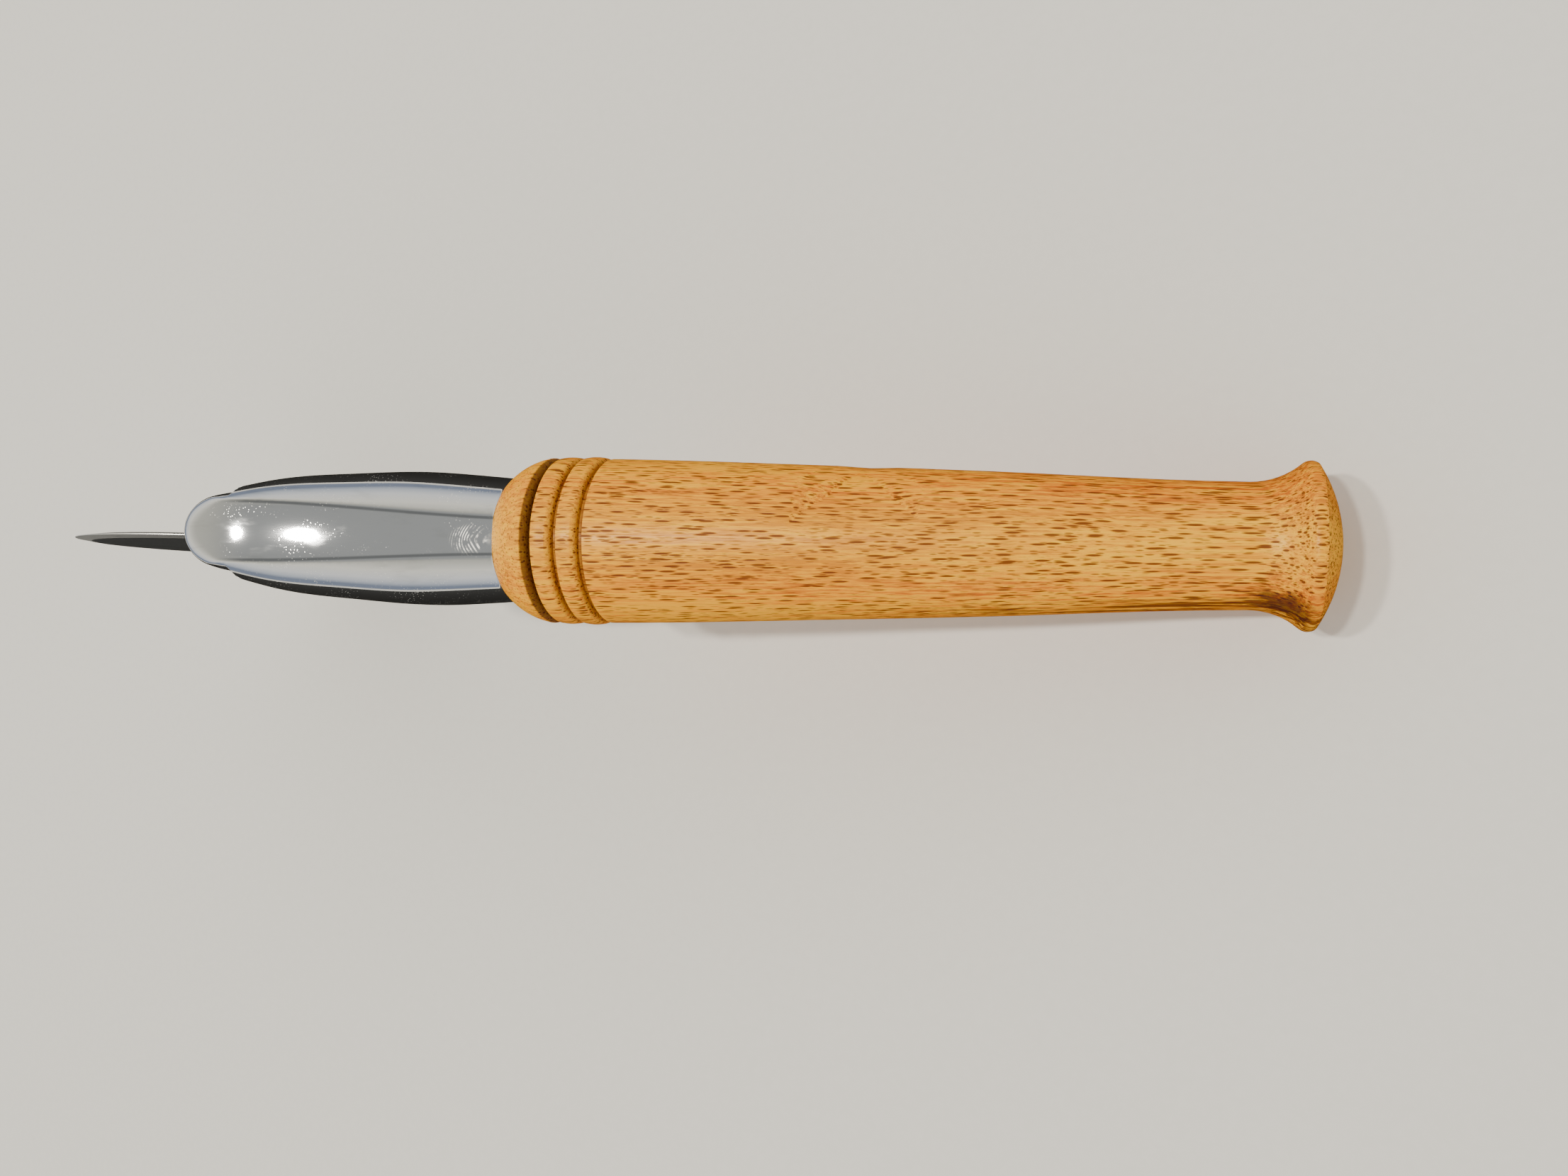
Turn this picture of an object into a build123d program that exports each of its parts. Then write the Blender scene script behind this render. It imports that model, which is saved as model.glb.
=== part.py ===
from build123d import *

import os
from math import asin, cos, pi, radians, sin, sqrt

os.makedirs("parts", exist_ok=True)

# A hand-held wheel cutter. Millimetres, +Z up.
# The handle's axis is X, and the origin lies on it, half way along the wood.
# +X points to the wheel. The wheel's axle is parallel to Y, below and ahead of the thumb rest on the +Z side.

# Handle
handle_length = 120.0
handle_front = handle_length / 2
handle_back = -handle_length / 2
butt_rim_radius = 11.45
butt_dome_height = 3.2
waist_radius = 8.7
waist_x = -48.5
body_radius = 12.75
bead_radius = 13.1
bead_shoulder_radius = 13.0
groove_first_x = 44.0
groove_pitch = 4.1
groove_width = 1.9
groove_depth = 1.15
last_groove_depth = 1.5
front_face_radius = 10.1
bore_radius = 6.0
bore_depth = 22.0
drill_point = 2.0

# Threaded joint between the handle and the head
insert_length = 20.0
insert_barb_depth = 0.45
insert_barb_pitch = 2.5
stud_radius = 4.0
stud_pitch = 1.25
stud_thread_depth = 0.6
stud_in_handle = 18.0
stud_in_head = 8.0

# Wheel and its bearing
wheel_x = 126.6
wheel_z = -22.6
wheel_radius = 31.75
wheel_thickness = 1.0
bevel_length = 2.6
edge_thickness = 0.12
bush_radius = 5.0
bush_width = 1.7
barrel_radius = 2.5
running_clearance = 0.05

# Head casting
collar_radius = 9.75
collar_edge = 0.5
collar_length = 8.0
thumb_flat_start = 9.35
thumb_ramp_angle = 13.5
slot_width = 3.0
slot_radius = 33.3
arm_half_width = 5.2
arm_root_radius = 9.7
boss_radius = 6.8
scoop_x = 118.0
scoop_z = 3.0
scoop_radius = 14.5

# Axle
axle_head_radius = 5.0
axle_head_rim = 0.6
axle_head_height = 1.5
screw_radius = 1.6
screw_length = 7.5
screw_pitch = 0.6
screw_thread_depth = 0.35
screw_slot_width = 1.1
screw_slot_depth = 0.8

washer_thickness = slot_width / 2 - bush_width / 2 - 2 * running_clearance
at_axle = Pos(wheel_x, 0, wheel_z)
arm_root = Vector(handle_front + collar_length, 0, 0)


def turned(*edges):
    """Revolve an outline drawn in the XZ plane (X along the axis, Z the radius) about the X axis."""
    return revolve(Plane.XZ * make_face(edges), Axis.X, 360)


def turned_outline(points):
    return turned(Polyline(*points, close=True))


def dome_drop(edge_radius, height, radius):
    """How far a spherical dome has dropped at a radius, given its drop at its edge."""
    sphere_radius = (edge_radius**2 + height**2) / (2 * height)
    return sphere_radius - sqrt(sphere_radius**2 - radius**2)


def handle_groove(start_x, start_radius, depth):
    """One groove: a steep wall on the butt side, then a wall that rolls up to the next bead."""
    floor_start = start_x + 0.25
    floor_end = start_x + 0.45 * groove_width
    wall_x = start_x + 0.62 * groove_width
    end_x = start_x + groove_width
    floor_radius = bead_radius - depth
    shoulder = (end_x, bead_shoulder_radius)
    return [
        Polyline((start_x, start_radius), (floor_start, floor_radius), (floor_end, floor_radius)),
        ThreePointArc((floor_end, floor_radius), (wall_x, bead_radius - 0.42 * depth), shoulder),
    ]


def handle_bead(start_x, end_x):
    crest = ((start_x + end_x) / 2, bead_radius)
    return ThreePointArc((start_x, bead_shoulder_radius), crest, (end_x, bead_shoulder_radius))


def make_handle():
    rim_x = handle_back + butt_dome_height + 0.7
    dome_radius = butt_rim_radius - 0.25
    dome_middle = dome_drop(dome_radius, butt_dome_height, dome_radius / 2)
    dome_edge = (handle_back + butt_dome_height, dome_radius)
    flare_start = (rim_x + 1.1, butt_rim_radius - 0.35)
    waist = (waist_x, waist_radius)
    first_groove = (groove_first_x, body_radius)
    edges = [
        ThreePointArc((handle_back, 0), (handle_back + dome_middle, dome_radius / 2), dome_edge),
        ThreePointArc(dome_edge, (rim_x, butt_rim_radius), flare_start),
        ThreePointArc(flare_start, (-52.2, 9.38), waist),
        Spline(waist, (-18.3, 10.16), (13.0, 11.58), first_groove, tangents=[(1, 0.02), (1, 0.022)]),
    ]
    edges += handle_groove(groove_first_x, body_radius, groove_depth)
    edges.append(handle_bead(groove_first_x + groove_width, groove_first_x + groove_pitch))
    middle_x = groove_first_x + groove_pitch
    edges += handle_groove(middle_x, bead_shoulder_radius, groove_depth)
    edges.append(handle_bead(middle_x + groove_width, middle_x + groove_pitch))
    last_x = middle_x + groove_pitch
    edges += handle_groove(last_x, bead_shoulder_radius, last_groove_depth)
    nose = (last_x + groove_width, bead_shoulder_radius)
    nose_middle = ((nose[0] + handle_front) / 2, 12.1)
    front_edge = (handle_front, front_face_radius)
    bore_back = handle_front - bore_depth
    edges.append(ThreePointArc(nose, nose_middle, front_edge))
    edges.append(
        Polyline(
            front_edge,
            (handle_front, bore_radius),
            (bore_back, bore_radius),
            (bore_back - drill_point, 0),
            (handle_back, 0),
        )
    )
    return turned(*edges)


def thread_ridges(start, length, crest_radius, depth, pitch):
    """Points of a thread's outline, as (distance along the axis, radius), ending at the root."""
    points = []
    for index in range(int(length / pitch)):
        ridge = start + index * pitch
        points.append((ridge + 0.5 * pitch, crest_radius))
        points.append((ridge + pitch, crest_radius - depth))
    return points


def make_threaded_insert():
    back_x = handle_front - insert_length
    points = [(back_x, stud_radius), (back_x, bore_radius - insert_barb_depth)]
    barb_count = int(insert_length / insert_barb_pitch) - 1
    for index in range(barb_count):
        barb_x = back_x + 1.0 + index * insert_barb_pitch
        points.append((barb_x, bore_radius - insert_barb_depth))
        points.append((barb_x + 0.6 * insert_barb_pitch, bore_radius))
        points.append((barb_x + 0.6 * insert_barb_pitch, bore_radius - insert_barb_depth))
    points += [(handle_front, bore_radius - insert_barb_depth), (handle_front, stud_radius)]
    return turned_outline(points)


def make_head_stud():
    back_x = handle_front - stud_in_handle
    front_x = handle_front + stud_in_head
    root_radius = stud_radius - stud_thread_depth
    ridges = thread_ridges(back_x, front_x - back_x, stud_radius, stud_thread_depth, stud_pitch)
    points = [(back_x, 0), (back_x, root_radius), *ridges, (front_x, root_radius), (front_x, 0)]
    return turned_outline(points)


def thumb_rest_section(x, half_width, flat, top, bottom):
    """A slice square to X: a round-shouldered bar whose crown is cut flat for the thumb."""
    shoulder = top - sqrt(half_width**2 - flat**2)
    middle_angle = (asin(flat / half_width) + pi / 2) / 2
    middle_y = half_width * sin(middle_angle)
    middle_z = shoulder + half_width * cos(middle_angle)
    right = ThreePointArc((flat, top), (middle_y, middle_z), (half_width, shoulder))
    under = Polyline(
        (half_width, shoulder),
        (half_width, bottom),
        (-half_width, bottom),
        (-half_width, shoulder),
    )
    left = ThreePointArc((-half_width, shoulder), (-middle_y, middle_z), (-flat, top))
    crown = Line((-flat, top), (flat, top))
    return Plane(origin=(x, 0, 0), x_dir=(0, 1, 0), z_dir=(1, 0, 0)) * make_face([right, under, left, crown])


def make_thumb_rest():
    """The long ramp that swells out of the collar and ends in a rounded tongue over the wheel."""
    start = handle_front + collar_edge
    sections = [
        thumb_rest_section(x=start, half_width=9.75, flat=2.75, top=thumb_flat_start, bottom=-0.5),
        thumb_rest_section(x=68.0, half_width=10.4, flat=3.1, top=11.15, bottom=-1.0),
        thumb_rest_section(x=76.0, half_width=10.65, flat=3.5, top=13.1, bottom=0.0),
        thumb_rest_section(x=84.0, half_width=10.2, flat=4.0, top=15.0, bottom=2.0),
        thumb_rest_section(x=92.0, half_width=9.45, flat=4.35, top=16.75, bottom=5.0),
        thumb_rest_section(x=100.0, half_width=8.1, flat=4.5, top=18.1, bottom=9.5),
        thumb_rest_section(x=105.5, half_width=5.9, flat=4.2, top=18.65, bottom=12.8),
        thumb_rest_section(x=109.2, half_width=2.0, flat=1.5, top=17.8, bottom=15.0),
    ]
    return loft(sections)


def make_collar():
    """A round collar with a flat along its top, which is the start of the thumb ramp."""
    collar = turned(
        Line((handle_front, 0), (handle_front, collar_radius - collar_edge)),
        ThreePointArc(
            (handle_front, collar_radius - collar_edge),
            (handle_front + 0.3 * collar_edge, collar_radius - 0.3 * collar_edge),
            (handle_front + collar_edge, collar_radius),
        ),
        Polyline(
            (handle_front + collar_edge, collar_radius),
            (arm_root.X, collar_radius),
            (arm_root.X, 0),
            (handle_front, 0),
        ),
    )
    ramp_normal = (-sin(radians(thumb_ramp_angle)), 0, cos(radians(thumb_ramp_angle)))
    ramp = Plane(origin=(handle_front + collar_edge, 0, thumb_flat_start), z_dir=ramp_normal)
    above_ramp = ramp * Box(60, 30, 10, align=(Align.CENTER, Align.CENTER, Align.MIN))
    return collar - above_ramp


def make_web():
    """The solid between the thumb rest and the arms, scooped out in front so that it clears the wheel."""
    side = Polyline(
        (arm_root.X + 6, -8),
        (arm_root.X + 6, 0),
        (scoop_x - 11.5, 13),
        (scoop_x, -18),
        close=True,
    )
    block = extrude(Plane.XZ * make_face(side), 30, both=True)
    scoop = Pos(scoop_x, 0, scoop_z) * Cylinder(scoop_radius, 80, rotation=(90, 0, 0))
    return block - scoop


def make_fork():
    """Both arms and the web above them, from the collar to the axle bosses, before the slot is cut."""
    line = Vector(wheel_x, 0, wheel_z) - arm_root
    along = Plane(origin=(arm_root + line / 2), z_dir=line)
    bar = along * Cone(arm_root_radius, boss_radius, line.length)
    bar += Pos(*arm_root) * Sphere(arm_root_radius)
    bar += at_axle * Cylinder(boss_radius, 2 * arm_half_width, rotation=(90, 0, 0))
    bar += make_web()
    right_edge = [
        (handle_front + 1.0, arm_root_radius),
        (arm_root.X + 4.0, arm_root_radius),
        (arm_root.X + 36.0, arm_half_width),
        (wheel_x + 2 * boss_radius, arm_half_width),
    ]
    left_edge = [(x, -y) for x, y in reversed(right_edge)]
    outline = make_face(Polyline(*right_edge, *left_edge, close=True))
    return bar & extrude(outline, 60, both=True)


def make_cutter_head():
    head = make_collar() + make_fork() + make_thumb_rest()
    wheel_slot = Cylinder(slot_radius, slot_width, rotation=(90, 0, 0))
    axle_hole = Cylinder(barrel_radius + running_clearance, 40, rotation=(90, 0, 0))
    stud_hole = Cylinder(stud_radius, stud_in_head, rotation=(0, 90, 0))
    head -= at_axle * wheel_slot
    head -= at_axle * axle_hole
    head -= Pos(handle_front + stud_in_head / 2, 0, 0) * stud_hole
    return head


def turned_on_axle(points):
    """Revolve an outline of (radius, Y) points about the wheel's axle."""
    outline = Plane.XY * Polyline(*points, close=True)
    return at_axle * revolve(make_face(outline), Axis.Y, 360)


def make_cutting_wheel():
    half = wheel_thickness / 2
    half_edge = edge_thickness / 2
    bevel_start = wheel_radius - bevel_length
    points = [
        (bush_radius, -half),
        (bevel_start, -half),
        (wheel_radius, -half_edge),
        (wheel_radius, half_edge),
        (bevel_start, half),
        (bush_radius, half),
    ]
    return turned_on_axle(points)


def make_ring(inner_radius, outer_radius, low_y, high_y):
    points = [
        (inner_radius, low_y),
        (outer_radius, low_y),
        (outer_radius, high_y),
        (inner_radius, high_y),
    ]
    return turned_on_axle(points)


def make_wheel_bush():
    return make_ring(barrel_radius + running_clearance, bush_radius, -bush_width / 2, bush_width / 2)


def make_washer(side):
    near = bush_width / 2 + running_clearance
    far = near + washer_thickness
    low, high = sorted((side * near, side * far))
    return make_ring(barrel_radius + running_clearance, bush_radius, low, high)


def make_fastener(shank, side):
    """A domed head outside one fork arm. The shank's (radius, Y) outline runs from the axis to the head."""
    base = arm_half_width
    rim = (axle_head_radius, base + axle_head_rim)
    top = (0, base + axle_head_height)
    crown_height = axle_head_height - axle_head_rim
    crown_drop = dome_drop(axle_head_radius, crown_height, axle_head_radius / 2)
    crown = (axle_head_radius / 2, base + axle_head_height - crown_drop)
    outline = [Polyline(top, *shank, (axle_head_radius, base), rim), ThreePointArc(rim, crown, top)]
    fastener = revolve(make_face(outline), Axis.Y, 360)
    if side < 0:
        fastener = Rot(0, 0, 180) * fastener
    return at_axle * fastener


def make_axle_sleeve_nut():
    barrel_end = 0.3 - arm_half_width
    hole_bottom = barrel_end + screw_length + 0.7
    shank = [
        (0, hole_bottom),
        (screw_radius, hole_bottom),
        (screw_radius, barrel_end),
        (barrel_radius, barrel_end),
        (barrel_radius, arm_half_width),
    ]
    return make_fastener(shank, -1)


def make_axle_screw():
    tip = arm_half_width - screw_length
    root_radius = screw_radius - screw_thread_depth
    thread_length = screw_length - 1.0
    ridges = thread_ridges(tip, thread_length, screw_radius, screw_thread_depth, screw_pitch)
    shank = [(0, tip), (root_radius, tip)]
    shank += [(radius, distance) for distance, radius in ridges]
    shank.append((root_radius, arm_half_width))
    slot = Box(4 * axle_head_radius, screw_slot_depth, screw_slot_width)
    slot_y = arm_half_width + axle_head_height - screw_slot_depth / 2
    return make_fastener(shank, 1) - at_axle * Pos(0, slot_y, 0) * slot


pieces = {
    "handle": make_handle(),
    "threaded_insert": make_threaded_insert(),
    "head_stud": make_head_stud(),
    "cutter_head": make_cutter_head(),
    "cutting_wheel": make_cutting_wheel(),
    "wheel_bush": make_wheel_bush(),
    "washer_left": make_washer(1),
    "washer_right": make_washer(-1),
    "axle_sleeve_nut": make_axle_sleeve_nut(),
    "axle_screw": make_axle_screw(),
}

for name, piece in pieces.items():
    export_step(piece, f"parts/{name}.step")
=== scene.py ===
from math import atan2, cos, pi, radians, sin

import bpy
import numpy as np
from mathutils import Matrix, Vector


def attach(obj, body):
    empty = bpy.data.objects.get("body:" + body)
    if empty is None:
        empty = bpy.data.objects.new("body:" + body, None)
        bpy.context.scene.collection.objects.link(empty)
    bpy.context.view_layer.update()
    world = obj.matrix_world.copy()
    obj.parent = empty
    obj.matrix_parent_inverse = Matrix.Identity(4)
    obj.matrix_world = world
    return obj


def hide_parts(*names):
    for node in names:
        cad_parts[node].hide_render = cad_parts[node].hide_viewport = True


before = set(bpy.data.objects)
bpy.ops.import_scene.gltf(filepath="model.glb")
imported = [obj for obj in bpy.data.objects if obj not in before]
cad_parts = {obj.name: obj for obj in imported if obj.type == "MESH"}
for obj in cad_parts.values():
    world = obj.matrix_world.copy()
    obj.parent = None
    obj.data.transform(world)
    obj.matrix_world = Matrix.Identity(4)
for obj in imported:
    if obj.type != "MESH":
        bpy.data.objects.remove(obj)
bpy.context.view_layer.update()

print("frame loaded")

mm = 0.001
toolBody = "cutter_body"

# camera: above the butt, looking along the cutter at the wheel
cameraSetup = {
    "place": (-31.3, 12.0, 172.9),  # mm
    "lean": 15.5,  # degrees from straight down, towards the wheel
    "pitch": 0.0288,  # radians
    "roll": 0.0262,  # radians
    "lens": 27.5,
    "sensor": 36.0,
}


def makeCamera(setup):
    lean = radians(setup["lean"])
    look = Vector((sin(lean), 0, -cos(lean)))
    right = Vector((-cos(lean), 0, -sin(lean)))
    up = Vector((0, -1, 0))
    look, up = look + up * setup["pitch"], up - look * setup["pitch"]
    right, up = right + up * setup["roll"], up - right * setup["roll"]
    axes = [right.normalized(), up.normalized(), -look.normalized()]
    data = bpy.data.cameras.new("studioCamera")
    data.lens = setup["lens"]
    data.sensor_width = setup["sensor"]
    data.clip_start = 0.005
    camera = bpy.data.objects.new("studioCamera", data)
    place = Matrix(axes).transposed().to_4x4()
    place.translation = Vector(setup["place"]) * mm
    camera.matrix_world = place
    bpy.context.scene.collection.objects.link(camera)
    bpy.context.scene.camera = camera


makeCamera(cameraSetup)
print("camera placed")


# a shader socket that takes part in sums
class Channel:
    def __init__(self, maker, socket):
        self.maker = maker
        self.socket = socket

    def math(self, operation, first, second=0.0):
        return self.maker.node("ShaderNodeMath", {"operation": operation}, {0: first, 1: second})

    def __add__(self, other):
        return self.math("ADD", self, other)

    __radd__ = __add__

    def __sub__(self, other):
        return self.math("SUBTRACT", self, other)

    def __rsub__(self, other):
        return self.math("SUBTRACT", other, self)

    def __mul__(self, other):
        return self.math("MULTIPLY", self, other)

    __rmul__ = __mul__

    def __truediv__(self, other):
        return self.math("DIVIDE", self, other)

    def __pow__(self, other):
        return self.math("POWER", self, other)

    def __abs__(self):
        return self.math("ABSOLUTE", self)

    def lowest(self, other):
        return self.math("MINIMUM", self, other)

    def highest(self, other):
        return self.math("MAXIMUM", self, other)

    def angleTo(self, other):
        return self.math("ARCTAN2", self, other)

    # 0 below low, 1 above high, smooth between
    def rise(self, low, high):
        settings = {"interpolation_type": "SMOOTHSTEP"}
        values = {"Value": self, "From Min": low, "From Max": high}
        return self.maker.node("ShaderNodeMapRange", settings, values)


def setStops(ramp, stops):
    while len(ramp.elements) < len(stops):
        ramp.elements.new(0.5)
    for element, (position, colour) in zip(ramp.elements, stops):
        element.position = position
        element.color = (*colour, 1)


# one material and the nodes that feed its Principled shader
class Finish:
    def __init__(self, name, **constants):
        self.material = bpy.data.materials.new(name)
        self.material.use_nodes = True
        self.tree = self.material.node_tree
        self.shader = self.tree.nodes["Principled BSDF"]
        for socketName, value in constants.items():
            self.shader.inputs[socketName.replace("_", " ")].default_value = value
        place = self.node("ShaderNodeTexCoord", {}, {}, "Object")
        self.place = self.scaled(place, 1 / mm)  # millimetres in the shared frame
        parts = self.tree.nodes.new("ShaderNodeSeparateXYZ")
        self.tree.links.new(self.place.socket, parts.inputs[0])
        self.x, self.y, self.z = (Channel(self, parts.outputs[i]) for i in range(3))

    def node(self, kind, settings, values, output=0):
        made = self.tree.nodes.new(kind)
        for name, value in settings.items():
            if name == "stops":
                setStops(made.color_ramp, value)
            else:
                setattr(made, name, value)
        for key, value in values.items():
            self.feed(made.inputs[key], value)
        return Channel(self, made.outputs[output])

    def feed(self, socket, value):
        if isinstance(value, Channel):
            self.tree.links.new(value.socket, socket)
        elif isinstance(value, tuple) and len(value) == 3 and len(socket.default_value) == 4:
            socket.default_value = (*value, 1)
        else:
            socket.default_value = value

    def scaled(self, vector, factors):
        if isinstance(factors, tuple):
            return self.node("ShaderNodeVectorMath", {"operation": "MULTIPLY"}, {0: vector, 1: factors})
        settings = {"operation": "SCALE"}
        return self.node("ShaderNodeVectorMath", settings, {0: vector, "Scale": factors})

    def shifted(self, vector, offset):
        return self.node("ShaderNodeVectorMath", {"operation": "ADD"}, {0: vector, 1: offset})

    def noise(self, factors, detail=2.0, roughness=0.5, vector=None):
        values = {
            "Vector": self.scaled(vector or self.place, factors),
            "Scale": 1.0,
            "Detail": detail,
            "Roughness": roughness,
        }
        return self.node("ShaderNodeTexNoise", {"noise_dimensions": "3D"}, values)

    # distance to the nearest of many scattered points
    def cells(self, factors, vector=None):
        values = {"Vector": self.scaled(vector or self.place, factors), "Scale": 1.0}
        return self.node("ShaderNodeTexVoronoi", {"feature": "F1"}, values, "Distance")

    # a Mix node's colours are inputs 6 and 7 and output 2
    def blend(self, amount, first, second):
        return self.node("ShaderNodeMix", {"data_type": "RGBA"}, {0: amount, 6: first, 7: second}, 2)

    def ramp(self, amount, stops):
        return self.node("ShaderNodeValToRGB", {"stops": stops}, {0: amount})

    def bump(self, height, strength, distance):
        values = {"Height": height, "Strength": strength, "Distance": distance * mm}
        return self.node("ShaderNodeBump", {}, values)

    def wear(self, **channels):
        for socketName, value in channels.items():
            self.feed(self.shader.inputs[socketName.replace("_", " ")], value)
        return self.material


def paint(nodeName, material):
    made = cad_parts[nodeName]
    made.data.materials.clear()
    made.data.materials.append(material)


# sRGB 0-255 to the linear values that the shader takes
def tone(red, green, blue):
    def linear(value):
        part = value / 255
        return part / 12.92 if part <= 0.04045 else ((part + 0.055) / 1.055) ** 2.4

    return (linear(red), linear(green), linear(blue))


woodLook = {
    "pale": tone(255, 178, 12),
    "golden": tone(244, 148, 0),
    "amber": tone(200, 94, 0),
    # the paler colour painted on the top as sheen
    "paintedSheen": tone(255, 206, 50),
    "pore": tone(104, 42, 0),
    "heart": tone(98, 28, 4),
    "stain": tone(64, 18, 16),
    # the colours painted in the grooves as shade
    "groove": tone(110, 52, 6),
    "lastGrooveShade": tone(72, 30, 6),
    "grooveStarts": (44.0, 48.1, 52.2),  # mm along the handle
    "grooveWidth": 1.9,
    "noseStart": (53.5, 55.5),  # where pores turn to dots
    "streakTurns": (0.85, 1.12, 1.35, 1.9),  # radians round the handle from its top
    "streakReach": (-38.0, 26.0),
    "stainPlace": (-52.0, 1.02),  # mm along, radians round
    "stainSize": (5.0, 0.3),
}


def turnedWood(look):
    finish = Finish("turnedWood", Coat_Roughness=0.22, IOR=1.45, Specular_IOR_Level=0.25)
    # the grain wanders a little, so the coordinates do too
    wander = finish.noise((0.02, 0.07, 0.07), detail=2.0)
    drift = (wander - 0.5) * 1.6
    driftVector = finish.node("ShaderNodeCombineXYZ", {}, {0: 0.0, 1: drift, 2: drift})
    grainPlace = finish.shifted(finish.place, driftVector)

    broad = finish.noise((0.008, 0.12, 0.12), detail=3.0, vector=grainPlace)
    fibres = finish.noise((0.05, 2.2, 2.2), detail=4.0, roughness=0.65, vector=grainPlace)
    fine = finish.noise((0.25, 9.0, 9.0), detail=2.0, vector=grainPlace)
    figure = broad * 0.3 + fibres * 0.52 + fine * 0.18
    stops = [(0.42, look["amber"]), (0.49, look["golden"]), (0.56, look["pale"])]
    colour = finish.ramp(figure, stops)
    # painted sheen: the top, which faces the lamps, is painted paler and yellower
    turn = finish.y.angleTo(finish.z)
    paintedSheen = 1 - abs(turn).rise(0.15, 0.95)
    colour = finish.blend(paintedSheen * 0.3, colour, look["paintedSheen"])

    # open pores: long thin cells along the grain, dots where the grain is cut across
    longPores = 1 - finish.cells((0.22, 1.9, 1.9), vector=grainPlace).rise(0.2, 0.38)
    shortPores = 1 - finish.cells((0.42, 2.8, 2.8), vector=grainPlace).rise(0.18, 0.36)
    poreCrowd = finish.noise((0.03, 0.35, 0.35), detail=1.0).rise(0.3, 0.55)
    threads = finish.noise((0.11, 5.5, 5.5), detail=3.0, roughness=0.6, vector=grainPlace)
    threads = threads.rise(0.55, 0.68)
    pores = longPores.highest(shortPores * poreCrowd * 0.8).highest(threads * 0.55)
    # on the rounded ends the pores are cut across and show as dots
    onNose = finish.x.rise(*look["noseStart"])
    dots = 1 - finish.cells((2.1, 2.1, 2.1)).rise(0.2, 0.38)
    pores = pores * (1 - onNose) + dots * onNose * 0.6
    colour = finish.blend(pores * 0.92, colour, look["pore"])

    # dark heartwood streaks on one side, towards the butt
    streakNoise = finish.noise((0.012, 1.5, 1.5), detail=3.0, roughness=0.7, vector=grainPlace)
    turns = look["streakTurns"]
    side = turn.rise(*turns[:2]) * (1 - turn.rise(*turns[2:]))
    reach = 1 - finish.x.rise(*look["streakReach"])
    streaks = side * reach * streakNoise.rise(0.42, 0.62)
    colour = finish.blend(streaks * 0.9, colour, look["heart"])

    # a purplish knot stain in the flare
    along = abs(finish.x - look["stainPlace"][0]) / look["stainSize"][0]
    across = abs(turn - look["stainPlace"][1]) / look["stainSize"][1]
    stainNoise = finish.noise((0.25, 0.45, 0.45), detail=4.0, roughness=0.7)
    stain = 1 - (along * along + across * across + (stainNoise - 0.5) * 2.6).rise(0.15, 1.25)
    colour = finish.blend(stain * 0.85, colour, look["stain"])

    # painted shade: the grooves are painted darker, the last one darkest
    grooves = 0.0
    for start in look["grooveStarts"][:2]:
        inside = finish.x.rise(start - 0.1, start + 0.1)
        inside = inside * (1 - finish.x.rise(start + 0.3, start + look["grooveWidth"]))
        grooves = inside + grooves
    lastStart = look["grooveStarts"][2]
    lastEnd = lastStart + look["grooveWidth"]
    last = finish.x.rise(lastStart - 0.05, lastStart + 0.1)
    last = last * (1 - finish.x.rise(lastEnd - 0.25, lastEnd))
    colour = finish.blend(grooves * 0.8, colour, look["groove"])
    colour = finish.blend(last * 0.8, colour, look["lastGrooveShade"])

    scuff = finish.noise((0.3, 1.2, 1.2), detail=3.0)
    roughness = 0.3 + 0.12 * scuff + 0.25 * pores + 0.3 * (grooves + last)
    toolMarks = finish.noise((2.2, 0.05, 0.05), detail=1.0)
    relief = fibres * 0.35 + fine * 0.12 - pores * 0.9 + toolMarks * 0.12
    coat = 0.1 - 0.08 * pores
    return finish.wear(
        Base_Color=colour,
        Roughness=roughness,
        Coat_Weight=coat,
        Normal=finish.bump(relief, 0.35, 0.12),
    )


chromeLook = {
    "plate": tone(222, 224, 228),
    "dust": tone(252, 251, 247),
    "smudge": tone(178, 180, 180),
    # the dark colour painted along the crown's edges as shade
    "creaseShade": tone(84, 88, 94),
    "printPlace": (63.6, 0.6),  # mm, along the head and across it
    "printSize": (3.6, 2.6),
    "ridgePitch": 0.47,
    "creaseShadeReach": (0.08, 0.38),  # mm from the crown's edge
    "creaseShadeStart": (5.0, 8.0),  # height
    "creaseShadeEnd": (98.0, 103.5),  # along the head
}


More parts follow.
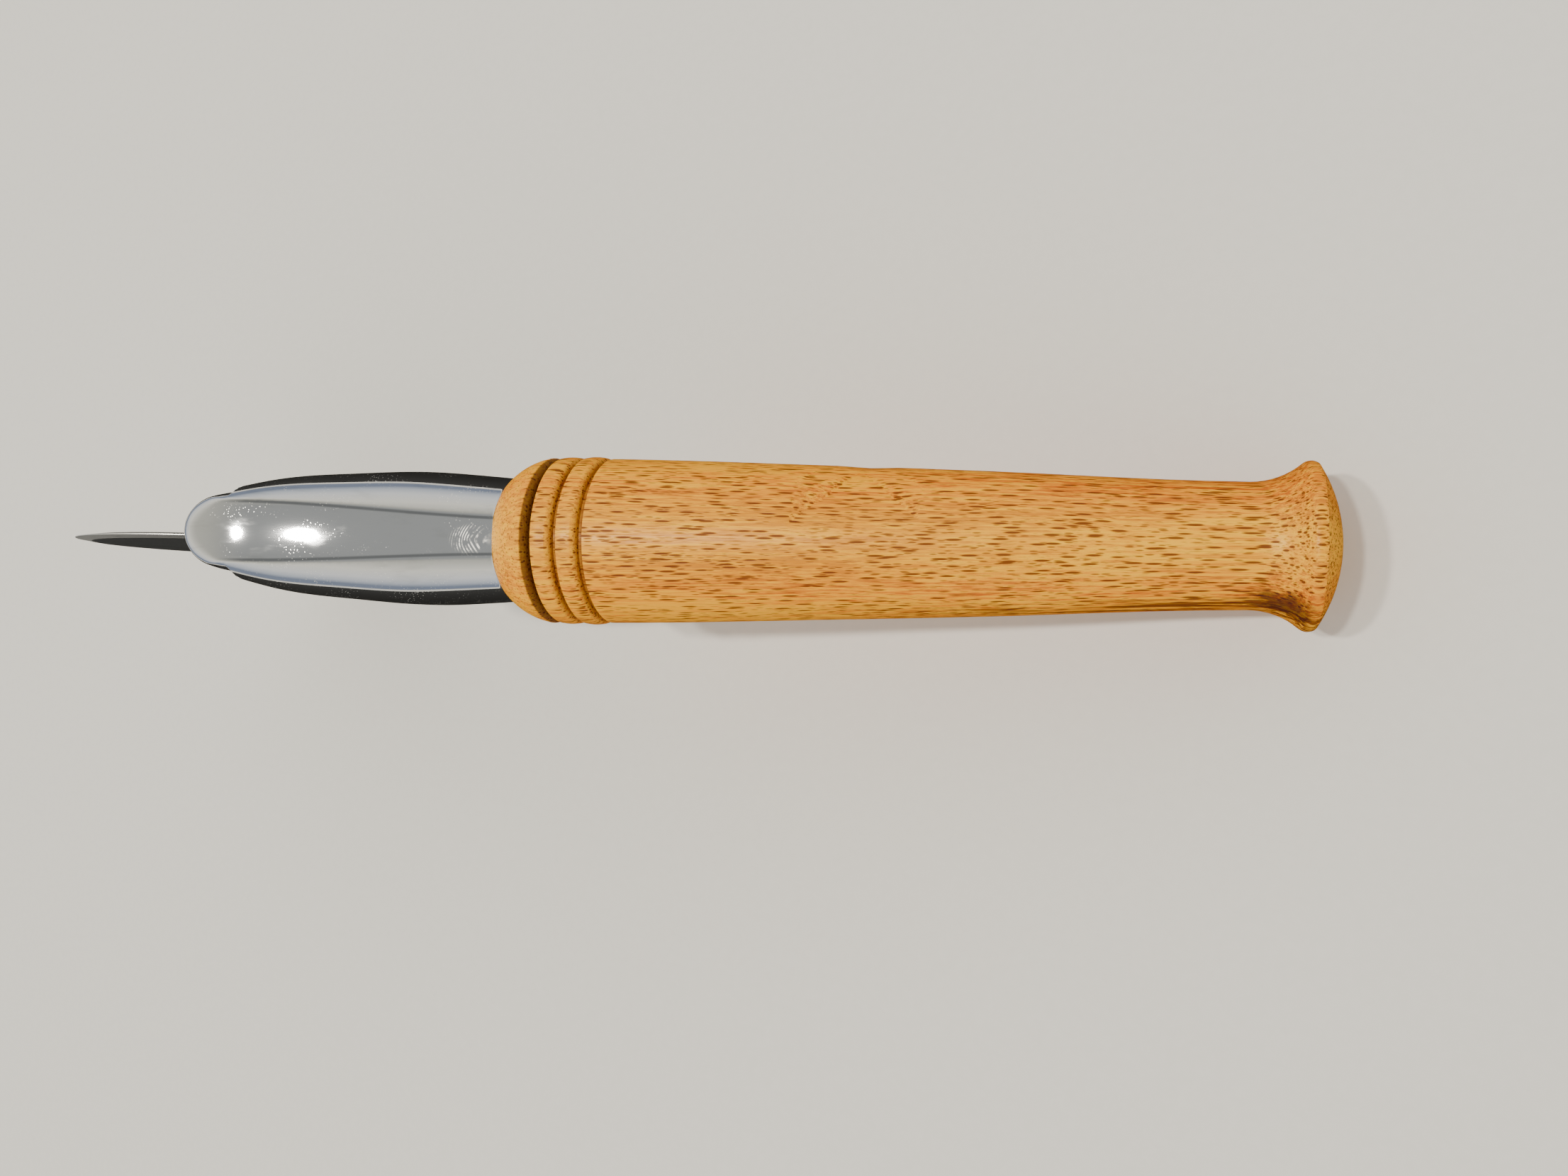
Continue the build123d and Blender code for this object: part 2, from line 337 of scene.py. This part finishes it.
def chromePlate(look, name="chromePlate", shape=None):
    finish = Finish(name, Metallic=1.0)
    haze = finish.noise((0.09, 0.09, 0.09), detail=4.0, roughness=0.6)
    specks = 1 - finish.cells((2.4, 2.4, 2.4)).rise(0.12, 0.26)
    speckField = finish.noise((0.14, 0.3, 0.3), detail=2.0).rise(0.46, 0.66)
    dust = specks * speckField
    hairs = finish.noise((0.5, 7.0, 2.0), detail=2.0, roughness=0.7)
    smear = finish.noise((0.12, 0.5, 0.5), detail=3.0, roughness=0.6).rise(0.52, 0.72)
    marks = dust * 0.8
    creaseShade = 0.0
    if shape:
        fromX = (finish.x - look["printPlace"][0]) / look["printSize"][0]
        fromY = (finish.y - look["printPlace"][1]) / look["printSize"][1]
        span = (fromX * fromX + fromY * fromY) ** 0.5
        swirl = finish.noise((0.12, 0.12, 0.12), detail=1.0) * 3.0
        ridges = fromX * look["printSize"][0] * 0.8 + span * 1.2 + swirl
        ridges = ridges * (2 * pi / look["ridgePitch"])
        ridges = finish.node("ShaderNodeMath", {"operation": "SINE"}, {0: ridges})
        contact = finish.noise((0.8, 0.8, 0.8), detail=3.0).rise(0.38, 0.6)
        fingerprint = (1 - span.rise(0.6, 1.0)) * contact * ridges.rise(-0.1, 0.7)
        marks = marks + fingerprint
        # painted shade: a dark line along each edge of the flat crown, where the crease reads dark
        least, gain, start, end = shape["flatWidth"]
        flat = least + gain * finish.x.rise(start, end)
        creaseShade = 1 - abs(abs(finish.y) - flat).rise(*look["creaseShadeReach"])
        creaseShade = creaseShade * finish.z.rise(*look["creaseShadeStart"]) * (1 - finish.x.rise(*look["creaseShadeEnd"]))
    marks = marks.lowest(1.0)
    colour = finish.blend(marks, look["plate"], look["dust"])
    colour = finish.blend(smear * 0.25, colour, look["smudge"])
    # painted shade along the edges of the crown
    colour = finish.blend(creaseShade * 0.6, colour, look["creaseShade"])
    roughness = 0.02 + 0.015 * haze + 0.01 * hairs + 0.03 * smear + 0.2 * marks
    waviness = finish.noise((0.06, 0.06, 0.06), detail=1.0)
    relief = waviness + dust * 0.05
    return finish.wear(
        Base_Color=colour,
        Roughness=roughness,
        Metallic=1 - 0.45 * marks,
        Normal=finish.bump(relief, 0.05, 0.1),
    )


steelLook = {
    "face": tone(178, 180, 182),
    "bevel": tone(232, 231, 228),
    "dull": tone(140, 141, 143),
    "wheelRadius": 31.75,  # mm
    "bevelLength": 2.6,
}


def wheelSteel(look, axle):
    finish = Finish("wheelSteel", Metallic=1.0)
    ahead, above = finish.x - axle[0], finish.z - axle[1]
    fromCentre = (ahead * ahead + above * above) ** 0.5
    turnVector = finish.node("ShaderNodeCombineXYZ", {}, {0: fromCentre, 1: finish.y * 0.2, 2: 0.0})
    rings = finish.noise((6.0, 1.0, 1.0), detail=4.0, roughness=0.75, vector=turnVector)
    haze = finish.noise((0.12, 0.12, 0.12), detail=4.0)
    scratches = finish.noise((0.35, 1.0, 9.0), detail=2.0, roughness=0.8).rise(0.62, 0.72)
    bevelStart = look["wheelRadius"] - look["bevelLength"]
    onBevel = fromCentre.rise(bevelStart - 0.05, bevelStart + 0.05)
    face = finish.blend(haze.rise(0.35, 0.75) * 0.25, look["face"], look["dull"])
    colour = finish.blend(onBevel, face, look["bevel"])
    roughness = 0.2 + 0.12 * rings + 0.1 * haze + 0.14 * onBevel + 0.1 * scratches
    relief = rings * (0.35 + 0.5 * onBevel) - scratches * 0.25
    return finish.wear(Base_Color=colour, Roughness=roughness, Normal=finish.bump(relief, 0.22, 0.05))


def smallMetal(name, colour, dull, roughness):
    finish = Finish(name, Metallic=1.0)
    haze = finish.noise((0.7, 0.7, 0.7), detail=4.0)
    marks = finish.noise((3.0, 9.0, 3.0), detail=2.0)
    shade = finish.blend(haze.rise(0.4, 0.7) * 0.6, colour, dull)
    return finish.wear(
        Base_Color=shade,
        Roughness=roughness + 0.16 * haze + 0.06 * marks,
        Normal=finish.bump(marks, 0.15, 0.05),
    )


def washerPlastic():
    finish = Finish("washerPlastic", IOR=1.5)
    haze = finish.noise((0.9, 0.9, 0.9), detail=4.0)
    shade = finish.blend(haze, tone(236, 234, 226), tone(214, 210, 198))
    return finish.wear(Base_Color=shade, Roughness=0.4 + 0.2 * haze, Normal=finish.bump(haze, 0.1, 0.05))


# the head casting, in millimetres
headShape = {
    "back": 60.0,
    # the thumb rest, as (distance along the handle, measure) pairs
    "crownHeight": ((60, 9.35), (72, 12.25), (84, 15.1), (94, 17.15), (102, 18.37), (109, 18.7)),
    "halfWidth": ((60, 9.75), (68, 10.35), (76, 10.65), (86, 10.05), (97, 8.8), (103, 7.1), (109, 5.2)),
    "flatWidth": (2.7, 1.85, 55, 100),  # at the wood, its gain, and where it widens
    "underside": ((60, -2), (76, 0), (84, 2), (92, 5), (100, 9.5), (109, 15.2)),
    "undersideRound": 1.6,
    "collarDrop": (14, 64, 12),  # how far the collar reaches down, its end, and the fade
    "crownCurve": 0.007,
    "crownEdge": (0.2, 2.2, 102, 6),  # rounding, its gain, and where it grows
    "tipStart": 101.5,
    "tipLength": 8.2,
    "tipHalfWidth": 6.3,
    "tipRound": 1.2,
    "creaseDepth": 0.05,
    "creaseWidth": 0.42,
    "creaseFade": (99, 5),
    # the fork, with the web that fills its corner
    "armRoot": (68.0, 0.0),
    "armRootRadius": 9.6,
    "armHalfWidth": 5.1,
    "armTaper": 36,
    "armRound": 2.4,
    "axle": (126.6, -22.6),
    "bossRadius": 6.75,
    "webBack": 74,
    "webTopSlope": 0.4,
    "webUnder": (8, 0.227),  # depth at the back, and slope
    "webFront": (106.5, 13, 0.371),  # a point on its front edge, and slope
    "webRound": 2.5,
    "scoop": (118.0, 3.0),
    "scoopRadius": 14.5,
    "scoopRound": 1.5,
    "rootRound": 1.2,
    # what is cut out of it
    "backGap": 0.02,
    "backRound": 0.7,
    "slotHalf": 1.5,
    "slotRadius": 33.3,
    "slotRound": 0.5,
    "axleRadius": 2.55,
    "axleRound": 0.3,
    "studRadius": 4.0,
    "studDepth": 8.0,
    "studRound": 0.4,
    # the mesh is looked for between these corners
    "searchLow": (59.0, -11.5, -30.6),
    "searchHigh": (134.5, 11.5, 20.0),
    "cell": 0.36,
}


# a natural cubic curve through a few points
def smoothLine(pairs, x):
    at, value = np.array(pairs, float).T
    gap = np.diff(at)
    system = np.eye(len(at))
    steps = np.zeros(len(at))
    for i in range(1, len(at) - 1):
        system[i, i - 1 : i + 2] = gap[i - 1], 2 * (gap[i - 1] + gap[i]), gap[i]
        steps[i] = 6 * ((value[i + 1] - value[i]) / gap[i] - (value[i] - value[i - 1]) / gap[i - 1])
    bend = np.linalg.solve(system, steps)
    x = np.clip(x, at[0], at[-1])
    i = np.clip(np.searchsorted(at, x) - 1, 0, len(gap) - 1)
    before, after, width = x - at[i], at[i + 1] - x, gap[i]
    curve = (bend[i] * after**3 + bend[i + 1] * before**3) / (6 * width)
    curve += (value[i] / width - bend[i] * width / 6) * after
    return curve + (value[i + 1] / width - bend[i + 1] * width / 6) * before


def smoothHigher(first, second, width):
    near = np.maximum(width - np.abs(first - second), 0) / width
    return np.maximum(first, second) + near * near * width / 4


def smoothLower(first, second, width):
    return -smoothHigher(-first, -second, width)


def easeUp(share):
    share = np.clip(share, 0, 1)
    return share * share * (3 - 2 * share)


def flatWidth(shape, x):
    least, gain, start, end = shape["flatWidth"]
    return least + gain * easeUp((x - start) / (end - start))


wellInside = -9.0  # a depth at which a surface has no say


# each field is below zero inside its shape, and about as large as the distance to it
def thumbRestField(shape, x, y, z):
    width = smoothLine(shape["halfWidth"], x)
    flat = flatWidth(shape, x)
    crown = smoothLine(shape["crownHeight"], x)
    shoulder = crown - np.sqrt(width**2 - flat**2)
    lift = np.maximum(z - shoulder, 0) + np.minimum(z, 0)
    rounded = np.hypot(y, lift) - width
    ahead = np.maximum(x - shape["tipStart"], 0) / shape["tipLength"]
    tip = (np.hypot(ahead, y / shape["tipHalfWidth"]) - 1) * shape["tipHalfWidth"]
    # next to the wood the rest reaches right down and is the collar
    drop, collarEnd, fade = shape["collarDrop"]
    under = smoothLine(shape["underside"], x) - drop * (1 - easeUp((x - collarEnd) / fade))
    tip = np.where(x > shape["tipStart"], tip, wellInside)
    body = smoothHigher(rounded, tip, shape["tipRound"])
    return smoothHigher(body, under - z, shape["undersideRound"])


def crownField(shape, x, y, z):
    flat = flatWidth(shape, x)
    crease = np.exp(-(((np.abs(y) - flat) / shape["creaseWidth"]) ** 2))
    fadeStart, fade = shape["creaseFade"]
    crease *= shape["creaseDepth"] * (1 - easeUp((x - fadeStart) / fade))
    return z - smoothLine(shape["crownHeight"], x) + crease + shape["crownCurve"] * y**2


def forkField(shape, x, y, z):
    root, axle = np.array(shape["armRoot"]), np.array(shape["axle"])
    line = axle - root
    share = np.clip(((x - root[0]) * line[0] + (z - root[1]) * line[1]) / (line @ line), 0, 1)
    away = np.hypot(x - root[0] - share * line[0], z - root[1] - share * line[1])
    radius = shape["armRootRadius"] + (shape["bossRadius"] - shape["armRootRadius"]) * share
    bar = np.hypot(away, y * (1 - share)) - radius
    # the web fills the corner between the arms and the thumb rest, as far as the scoop
    fromBack = x - shape["webBack"]
    depth, underSlope = shape["webUnder"]
    frontX, frontZ, frontSlope = shape["webFront"]
    web = np.maximum(z - shape["webTopSlope"] * fromBack, -z - depth - underSlope * fromBack)
    web = np.maximum(np.maximum(web, -fromBack), x - frontX - frontSlope * (frontZ - z))
    scoop = shape["scoopRadius"] - np.hypot(x - shape["scoop"][0], z - shape["scoop"][1])
    web = smoothHigher(web, scoop, shape["scoopRound"])
    slim = easeUp((x - root[0]) / shape["armTaper"])
    width = shape["armRootRadius"] + (shape["armHalfWidth"] - shape["armRootRadius"]) * slim
    sides = np.abs(y) - width
    return smoothHigher(smoothLower(bar, web, shape["webRound"]), sides, shape["armRound"])


def headField(shape, points):
    x, y, z = points[..., 0], points[..., 1], points[..., 2]
    rest, fork = thumbRestField(shape, x, y, z), forkField(shape, x, y, z)
    body = smoothLower(rest, fork, shape["rootRound"])
    least, gain, start, length = shape["crownEdge"]
    edge = least + gain * easeUp((x - start) / length)
    body = smoothHigher(body, crownField(shape, x, y, z), edge)
    body = smoothHigher(body, shape["back"] + shape["backGap"] - x, shape["backRound"])
    reach = np.hypot(x - shape["axle"][0], z - shape["axle"][1])
    slotSides = np.abs(y) - shape["slotHalf"]
    slot = smoothHigher(slotSides, reach - shape["slotRadius"], shape["slotRound"])
    body = smoothHigher(body, -slot, shape["slotRound"])
    body = smoothHigher(body, shape["axleRadius"] - reach, shape["axleRound"])
    stud = np.maximum(np.hypot(y, z) - shape["studRadius"], x - shape["back"] - shape["studDepth"])
    return smoothHigher(body, -stud, shape["studRound"])


# one point in each grid cell that the surface crosses, and one face across each crossed edge
def surfaceNet(field, low, cell):
    inside = field < 0
    corner = [(i, j, k) for i in (0, 1) for j in (0, 1) for k in (0, 1)]
    size = [n - 1 for n in field.shape]

    def part(values, offset):
        return values[tuple(slice(o, o + n) for o, n in zip(offset, size))]

    total = sum(part(inside, c).astype(np.int8) for c in corner)
    active = (total > 0) & (total < 8)
    index = -np.ones(active.shape, np.int64)
    index[active] = np.arange(active.sum())
    place = np.zeros((active.sum(), 3))
    count = np.zeros(active.sum())
    for a in corner:
        for b in corner:
            if sum(b) - sum(a) != 1 or any(q < p for p, q in zip(a, b)):
                continue
            first, second = part(field, a)[active], part(field, b)[active]
            crossed = (first < 0) != (second < 0)
            share = np.where(crossed, first / np.where(crossed, first - second, 1), 0)
            point = np.array(a) + share[:, None] * (np.array(b) - np.array(a))
            place += point * crossed[:, None]
            count += crossed
    place = place / count[:, None] + np.argwhere(active)
    quads = []
    for axis in range(3):
        side, across = (axis + 1) % 3, (axis + 2) % 3
        step = [0, 0, 0]
        step[axis] = 1
        span = tuple(slice(s, None) for s in step)
        back = tuple(slice(0, n - s) for s, n in zip(step, inside.shape))
        change = inside[back].astype(np.int8) - inside[span].astype(np.int8)
        for sign in (1, -1):
            cells = np.argwhere(change == sign)
            keep = (cells[:, side] > 0) & (cells[:, across] > 0)
            keep &= (cells[:, side] < size[side]) & (cells[:, across] < size[across])
            cells = cells[keep]
            ring = []
            for da, db in ((1, 1), (0, 1), (0, 0), (1, 0)):
                beside = cells.copy()
                beside[:, side] -= da
                beside[:, across] -= db
                ring.append(index[tuple(beside.T)])
            ring = ring if sign == 1 else ring[::-1]
            quads.append(np.stack(ring, 1))
    return low + place * cell, np.concatenate(quads)


def slopeOf(shape, points, step=0.02):
    slope = np.zeros_like(points)
    for axis in range(3):
        offset = np.zeros(3)
        offset[axis] = step
        slope[:, axis] = headField(shape, points + offset) - headField(shape, points - offset)
    return slope / (2 * step)


# moves the points onto the surface itself, never more than half a cell at a time
def settle(shape, points, rounds=4, leastSlope=0.2):
    most = 0.5 * shape["cell"]
    for _ in range(rounds):
        slope = slopeOf(shape, points)
        distance = headField(shape, points)[:, None]
        move = distance * slope / np.maximum((slope**2).sum(1, keepdims=True), leastSlope)
        points = points - np.clip(move, -most, most)
    return points


def castHead(shape):
    low, cell = np.array(shape["searchLow"]), shape["cell"]
    axes = [np.arange(a, b, cell) for a, b in zip(low, shape["searchHigh"])]
    grid = np.stack(np.meshgrid(*axes, indexing="ij"), -1)
    points, quads = surfaceNet(headField(shape, grid), low, cell)
    points = settle(shape, points)
    slope = slopeOf(shape, points)
    normals = slope / np.linalg.norm(slope, axis=1, keepdims=True)
    mesh = bpy.data.meshes.new("chromeHead")
    mesh.from_pydata((points * mm).tolist(), [], quads.tolist())
    mesh.polygons.foreach_set("use_smooth", [True] * len(mesh.polygons))
    mesh.validate()
    mesh.normals_split_custom_set_from_vertices(normals.tolist())
    head = bpy.data.objects.new("chromeHead", mesh)
    bpy.context.scene.collection.objects.link(head)
    return head


chromeHead = castHead(headShape)
chromeHead.data.materials.append(chromePlate(chromeLook, shape=headShape))
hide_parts("cutter_head")
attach(chromeHead, toolBody)
print("head cast:", len(chromeHead.data.polygons), "faces")

paint("handle", turnedWood(woodLook))
paint("cutting_wheel", wheelSteel(steelLook, headShape["axle"]))
paint("wheel_bush", smallMetal("bushBrass", tone(214, 176, 98), tone(160, 122, 60), 0.22))
paint("threaded_insert", smallMetal("insertBrass", tone(208, 172, 100), tone(150, 116, 60), 0.28))
paint("head_stud", smallMetal("studSteel", tone(176, 178, 180), tone(120, 122, 124), 0.3))
paint("axle_sleeve_nut", chromePlate(chromeLook, "axleNutChrome"))
paint("axle_screw", chromePlate(chromeLook, "axleScrewChrome"))
for washerName in ("washer_left", "washer_right"):
    paint(washerName, washerPlastic())
print("finishes painted")

floorShape = {
    "back": (-56.0, -11.45),  # mm, where the butt's rim touches it
    "front": (119.2, -53.47),  # where the wheel touches it
    "reach": 1600.0,
}


def floorPlace(shape):
    rise = shape["front"][1] - shape["back"][1]
    run = shape["front"][0] - shape["back"][0]
    tilt = -atan2(rise, run)
    middleX = (shape["front"][0] + shape["back"][0]) / 2
    middleZ = (shape["front"][1] + shape["back"][1]) / 2
    place = Matrix.Rotation(tilt, 4, "Y")
    place.translation = Vector((middleX, 0, middleZ)) * mm
    return place


def makePlane(name, halfX, halfY, place, height=0.0):
    corners = [(-halfX, -halfY), (halfX, -halfY), (halfX, halfY), (-halfX, halfY)]
    mesh = bpy.data.meshes.new(name)
    mesh.from_pydata([(x * mm, y * mm, height * mm) for x, y in corners], [], [(0, 1, 2, 3)])
    plane = bpy.data.objects.new(name, mesh)
    plane.matrix_world = place
    bpy.context.scene.collection.objects.link(plane)
    return plane


def floorPaper():
    finish = Finish("floorPaper")
    tooth = finish.noise((0.6, 0.6, 0.6), detail=3.0)
    shade = finish.blend(tooth, tone(226, 224, 220), tone(232, 230, 226))
    return finish.wear(Base_Color=shade, Roughness=0.9)


def blackCard():
    finish = Finish("blackCard")
    return finish.wear(Base_Color=tone(14, 13, 11), Roughness=1.0)


cardShape = {"halfLength": 420, "halfWidth": 480, "height": 0.6}  # mm

floor = makePlane("floor", floorShape["reach"], floorShape["reach"], floorPlace(floorShape))
floor.data.materials.append(floorPaper())
# a dark card under the cutter that only its shiny metal sees
cardSize = (cardShape["halfLength"], cardShape["halfWidth"])
card = makePlane("reflectionCard", *cardSize, floorPlace(floorShape), cardShape["height"])
card.data.materials.append(blackCard())
card.visible_camera = False
card.visible_diffuse = False
card.visible_shadow = False


warm = (1, 0.95, 0.84)
white = (1, 1, 1)

# name, place and target in metres, size, watts, colour, and whether reflections leave it out
studioLamps = [
    ("lampAhead", (0.713, -0.07, 1.386), (0.1, 0, 0.018), (0.08, 0.08), 9.0, warm, False),
    ("lampAbove", (0.464, -0.07, 1.47), (0.089, 0, 0.016), (0.08, 0.08), 9.0, warm, False),
    ("softLeft", (0.2, -0.9, 0.9), (0, 0, 0), (1.4, 1.0), 1.4, white, True),
    ("softRight", (-0.1, 0.9, 0.8), (0, 0, 0), (1.4, 1.0), 1.0, white, True),
]


def areaLight(name, place, target, size, power, colour, soft):
    data = bpy.data.lights.new(name, "AREA")
    data.shape = "RECTANGLE" if soft else "DISK"
    data.size, data.size_y = size
    data.energy = power
    data.color = colour
    lamp = bpy.data.objects.new(name, data)
    lamp.location = Vector(place)
    lamp.rotation_euler = (Vector(target) - Vector(place)).to_track_quat("-Z", "Y").to_euler()
    lamp.visible_glossy = not soft
    bpy.context.scene.collection.objects.link(lamp)


# the sky, from the horizon at 0 to straight up at 1
studioSky = {
    "strength": 0.9,
    "stops": [
        (0.0, (0.3, 0.34, 0.42)),
        (0.12, (0.7, 0.73, 0.76)),
        (0.3, (1.05, 1.03, 0.97)),
        (0.55, (1.15, 1.09, 0.92)),
        (0.8, (0.7, 0.67, 0.56)),
        (0.92, (0.45, 0.45, 0.42)),
        (1.0, (0.46, 0.46, 0.43)),
    ],
}


def studioWorld(sky):
    world = bpy.data.worlds.new("studioWorld")
    world.use_nodes = True
    tree = world.node_tree
    background = tree.nodes["Background"]
    place = tree.nodes.new("ShaderNodeTexCoord")
    parts = tree.nodes.new("ShaderNodeSeparateXYZ")
    ramp = tree.nodes.new("ShaderNodeValToRGB")
    tree.links.new(place.outputs["Generated"], parts.inputs[0])
    tree.links.new(parts.outputs[2], ramp.inputs[0])
    setStops(ramp.color_ramp, sky["stops"])
    tree.links.new(ramp.outputs[0], background.inputs[0])
    background.inputs[1].default_value = sky["strength"]
    bpy.context.scene.world = world


studioWorld(studioSky)
for lamp in studioLamps:
    areaLight(*lamp)
print("studio lit")
